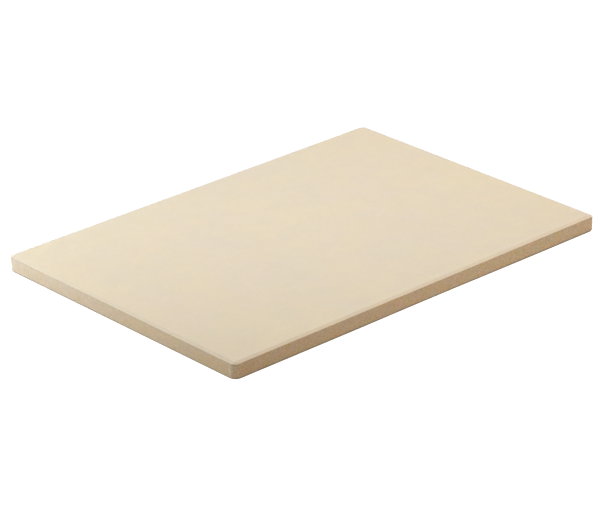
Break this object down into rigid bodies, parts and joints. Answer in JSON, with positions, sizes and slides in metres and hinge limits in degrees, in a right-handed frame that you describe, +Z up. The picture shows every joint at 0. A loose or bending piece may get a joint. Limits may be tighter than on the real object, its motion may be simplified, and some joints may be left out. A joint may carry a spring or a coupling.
{
  "type": "pizza stone",
  "caption": "Rectangular baking stone: a flat slab of unglazed fired ceramic with small-radius corners and a shallow bevel round its baking surface.",
  "frame": {"origin": "centre of the underside, on the surface that the slab lies on", "axes": "+Z up, out of the baking surface; +X along the long side; +Y along the short side"},
  "size_m": [0.42, 0.3, 0.015],
  "materials": {
    "cordierite": "matte"
  },
  "bodies": {
    "root": {"baking_slab": "cordierite"}
  },
  "joints": []
}
